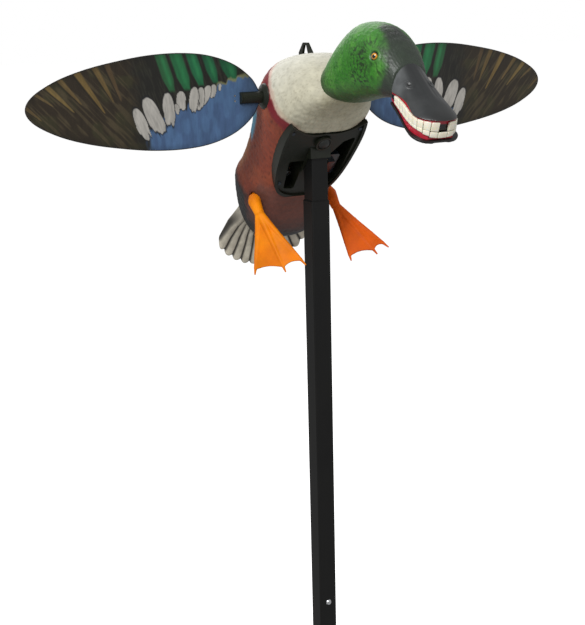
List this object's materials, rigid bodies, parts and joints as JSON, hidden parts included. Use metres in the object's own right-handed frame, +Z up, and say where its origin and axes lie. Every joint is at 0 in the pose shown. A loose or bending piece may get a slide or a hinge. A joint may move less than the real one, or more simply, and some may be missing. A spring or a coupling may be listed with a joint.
{
  "type": "spinning wing duck decoy",
  "caption": "Duck decoy with motor-driven spinning wings, webbed feet and a toothed bill, dropped on the post of a square two-piece ground pole.",
  "frame": {"origin": "on the pole's axis at the ground line, where the spike's shank meets the lower tube", "axes": "+Z up along the pole, +X towards the duck's left wing tip, the duck faces -Y"},
  "size_m": [0.708, 0.4465, 1.0644],
  "materials": {
    "powder_coated_steel": "satin black powder coat",
    "galvanised_steel": "zinc plated",
    "bright_steel": "polished",
    "spring_steel": "blued",
    "black_plastic": "moulded, fine texture",
    "painted_body": "moulded and airbrushed feathers",
    "painted_tail": "moulded and airbrushed feathers",
    "painted_head": "moulded and airbrushed green",
    "painted_bill": "moulded, dark grey",
    "gum_red": "painted red",
    "tooth_cream": "painted cream",
    "glass_eye": "clear coated amber",
    "orange_vinyl": "soft moulded vinyl",
    "printed_aluminium": "printed front, white back",
    "switch_rubber": "moulded boot",
    "battery_wrap": "shrink wrapped cells",
    "brass": "turned",
    "motor_steel": "plated can",
    "nickel_magnet": "nickel plated"
  },
  "bodies": {
    "stand": {"ground_spike": "galvanised_steel", "lower_tube": "powder_coated_steel", "upper_tube": "powder_coated_steel", "tube_collar": "powder_coated_steel", "top_post": "powder_coated_steel", "post_pin": "powder_coated_steel", "snap_spring": "spring_steel"},
    "snap_button": {"snap_button": "bright_steel"},
    "decoy": {"body_shell": "painted_body", "tail_fan": "painted_tail", "head_shell": "painted_head", "upper_bill": "painted_bill", "lower_bill": "painted_bill", "gums": "gum_red", "upper_teeth": "tooth_cream", "lower_teeth": "tooth_cream", "left_eye": "glass_eye", "right_eye": "glass_eye", "hanging_tab": "black_plastic", "housing": "black_plastic", "housing_screws": "bright_steel", "motor_can": "motor_steel", "motor_mount": "black_plastic", "left_bushing": "black_plastic", "right_bushing": "black_plastic", "control_box": "black_plastic", "charge_jack": "bright_steel", "battery_contacts": "brass", "switch_bezel": "black_plastic", "post_clip": "brass"},
    "switch_button": {"switch_button": "switch_rubber"},
    "battery": {"battery": "battery_wrap"},
    "rotor": {"motor_shaft": "bright_steel", "left_wing_post": "black_plastic", "right_wing_post": "black_plastic", "wing_magnets": "nickel_magnet"},
    "left_wing": {"left_wing_blade": "printed_aluminium", "left_wing_clip": "black_plastic", "left_wing_rivets": "bright_steel"},
    "right_wing": {"right_wing_blade": "printed_aluminium", "right_wing_clip": "black_plastic", "right_wing_rivets": "bright_steel"},
    "left_leg": {"left_leg": "orange_vinyl"},
    "right_leg": {"right_leg": "orange_vinyl"}
  },
  "joints": [
    {"name": "snap_button_press", "type": "slide", "parent": "stand", "child": "snap_button", "axis": [0, 1, 0], "range_m": [0, 0.0045], "stiffness_N_per_m": 800, "springref_m": -0.003, "deforming": ["snap_spring"]},
    {"name": "decoy_lift", "type": "slide", "parent": "stand", "child": "decoy", "axis": [0, 0, 1], "range_m": [0, 0.045]},
    {"name": "power_button_press", "type": "slide", "parent": "decoy", "child": "switch_button", "axis": [0, 0.7581, 0.6521], "range_m": [0, 0.0025], "stiffness_N_per_m": 1200, "springref_m": -0.001},
    {"name": "battery_slide", "type": "slide", "parent": "decoy", "child": "battery", "axis": [0, -0.7581, -0.6521], "range_m": [0, 0.05]},
    {"name": "wing_spin", "type": "hinge", "parent": "decoy", "child": "rotor", "pos_m": [0, 0.006, 0.87], "axis": [1, 0, 0], "continuous": true},
    {"name": "left_wing_pull", "type": "slide", "parent": "rotor", "child": "left_wing", "axis": [1, 0, 0], "range_m": [0, 0.03]},
    {"name": "right_wing_pull", "type": "slide", "parent": "rotor", "child": "right_wing", "axis": [-1, 0, 0], "range_m": [0, 0.03]},
    {"name": "left_leg_swivel", "type": "hinge", "parent": "decoy", "child": "left_leg", "pos_m": [0.054, 0.06545, 0.73647], "axis": [0.4498, -0.6077, -0.6545], "range_deg": [-25, 25]},
    {"name": "right_leg_swivel", "type": "hinge", "parent": "decoy", "child": "right_leg", "pos_m": [-0.054, 0.06545, 0.73647], "axis": [-0.4498, -0.6077, -0.6545], "range_deg": [-5, 25]}
  ]
}
